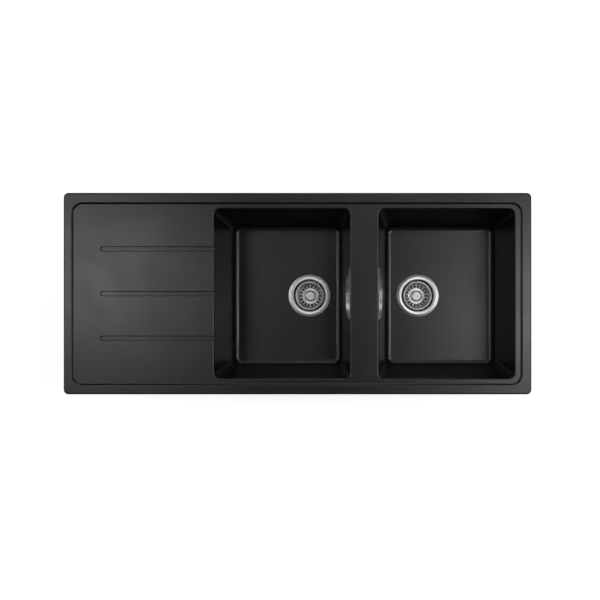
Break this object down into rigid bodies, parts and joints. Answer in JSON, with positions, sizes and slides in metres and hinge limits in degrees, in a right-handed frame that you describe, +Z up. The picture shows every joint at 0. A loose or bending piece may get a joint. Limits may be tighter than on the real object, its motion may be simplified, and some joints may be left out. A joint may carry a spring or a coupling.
{
  "type": "double bowl kitchen sink",
  "caption": "Black composite inset kitchen sink with two bowls, a grooved drainer, basket strainer wastes, overflows and swivel clips for the worktop.",
  "frame": {"origin": "middle of the outline, in the plane of the rim's underside, which is the worktop's surface", "axes": "+X from the drainer to the right-hand bowl, +Y to the back, +Z up"},
  "size_m": [1.16, 0.5, 0.311],
  "materials": {
    "composite": "satin black quartz and resin composite with a fine speckle",
    "brushed_steel": "circular brushed stainless steel",
    "knob_steel": "turned stainless steel",
    "bolt_steel": "machined stainless steel",
    "zinc_steel": "zinc plated steel",
    "brass": "machined",
    "black_rubber": "matt",
    "foam_rubber": "closed-cell foam",
    "clip_plastic": "moulded",
    "stem_plastic": "moulded",
    "waste_plastic": "moulded polypropylene",
    "nut_plastic": "moulded polypropylene"
  },
  "bodies": {
    "sink": {"sink_body": "composite", "rim_seal": "foam_rubber", "flange_gasket_left": "foam_rubber", "flange_gasket_right": "foam_rubber", "clip_inserts": "brass", "bolt_insert_left": "brass", "bolt_insert_right": "brass", "clip_spacers": "clip_plastic", "clip_screws": "zinc_steel", "strainer_cup_left": "brushed_steel", "overflow_cover_left": "brushed_steel", "centre_bolt_left": "bolt_steel", "overflow_screw_left": "bolt_steel", "body_seal_left": "black_rubber", "overflow_gasket_left": "black_rubber", "waste_body_left": "waste_plastic", "overflow_elbow_left": "waste_plastic", "overflow_pipe_left": "waste_plastic", "overflow_nut_left": "nut_plastic", "strainer_cup_right": "brushed_steel", "overflow_cover_right": "brushed_steel", "centre_bolt_right": "bolt_steel", "overflow_screw_right": "bolt_steel", "body_seal_right": "black_rubber", "overflow_gasket_right": "black_rubber", "waste_body_right": "waste_plastic", "overflow_elbow_right": "waste_plastic", "overflow_pipe_right": "waste_plastic", "overflow_nut_right": "nut_plastic"},
    "swivel_clip_1": {"clip_1": "zinc_steel"},
    "swivel_clip_2": {"clip_2": "zinc_steel"},
    "swivel_clip_3": {"clip_3": "zinc_steel"},
    "swivel_clip_4": {"clip_4": "zinc_steel"},
    "swivel_clip_5": {"clip_5": "zinc_steel"},
    "swivel_clip_6": {"clip_6": "zinc_steel"},
    "swivel_clip_7": {"clip_7": "zinc_steel"},
    "swivel_clip_8": {"clip_8": "zinc_steel"},
    "stopper_left": {"stopper_spindle_left": "stem_plastic", "stopper_seal_left": "black_rubber"},
    "strainer_basket_left": {"basket_left": "brushed_steel", "basket_knob_left": "knob_steel"},
    "stopper_right": {"stopper_spindle_right": "stem_plastic", "stopper_seal_right": "black_rubber"},
    "strainer_basket_right": {"basket_right": "brushed_steel", "basket_knob_right": "knob_steel"}
  },
  "joints": [
    {"name": "clip_1_swivel", "type": "hinge", "parent": "sink", "child": "swivel_clip_1", "pos_m": [-0.495, 0.226, -0.044], "axis": [0, 0, 1], "range_deg": [0, 90]},
    {"name": "clip_2_swivel", "type": "hinge", "parent": "sink", "child": "swivel_clip_2", "pos_m": [-0.165, 0.226, -0.044], "axis": [0, 0, 1], "range_deg": [0, 90]},
    {"name": "clip_3_swivel", "type": "hinge", "parent": "sink", "child": "swivel_clip_3", "pos_m": [0.165, 0.226, -0.044], "axis": [0, 0, 1], "range_deg": [0, 90]},
    {"name": "clip_4_swivel", "type": "hinge", "parent": "sink", "child": "swivel_clip_4", "pos_m": [0.495, 0.226, -0.044], "axis": [0, 0, 1], "range_deg": [0, 90]},
    {"name": "clip_5_swivel", "type": "hinge", "parent": "sink", "child": "swivel_clip_5", "pos_m": [-0.495, -0.226, -0.044], "axis": [0, 0, 1], "range_deg": [0, 90]},
    {"name": "clip_6_swivel", "type": "hinge", "parent": "sink", "child": "swivel_clip_6", "pos_m": [-0.165, -0.226, -0.044], "axis": [0, 0, 1], "range_deg": [0, 90]},
    {"name": "clip_7_swivel", "type": "hinge", "parent": "sink", "child": "swivel_clip_7", "pos_m": [0.165, -0.226, -0.044], "axis": [0, 0, 1], "range_deg": [0, 90]},
    {"name": "clip_8_swivel", "type": "hinge", "parent": "sink", "child": "swivel_clip_8", "pos_m": [0.495, -0.226, -0.044], "axis": [0, 0, 1], "range_deg": [0, 90]},
    {"name": "basket_lift_left", "type": "slide", "parent": "sink", "child": "stopper_left", "axis": [0, 0, 1], "range_m": [0, 0.13]},
    {"name": "basket_turn_left", "type": "hinge", "parent": "stopper_left", "child": "strainer_basket_left", "pos_m": [0.0197, 0, -0.2], "axis": [0, 0, 1], "continuous": true},
    {"name": "basket_lift_right", "type": "slide", "parent": "sink", "child": "stopper_right", "axis": [0, 0, 1], "range_m": [0, 0.13]},
    {"name": "basket_turn_right", "type": "hinge", "parent": "stopper_right", "child": "strainer_basket_right", "pos_m": [0.312, 0, -0.2], "axis": [0, 0, 1], "continuous": true}
  ]
}
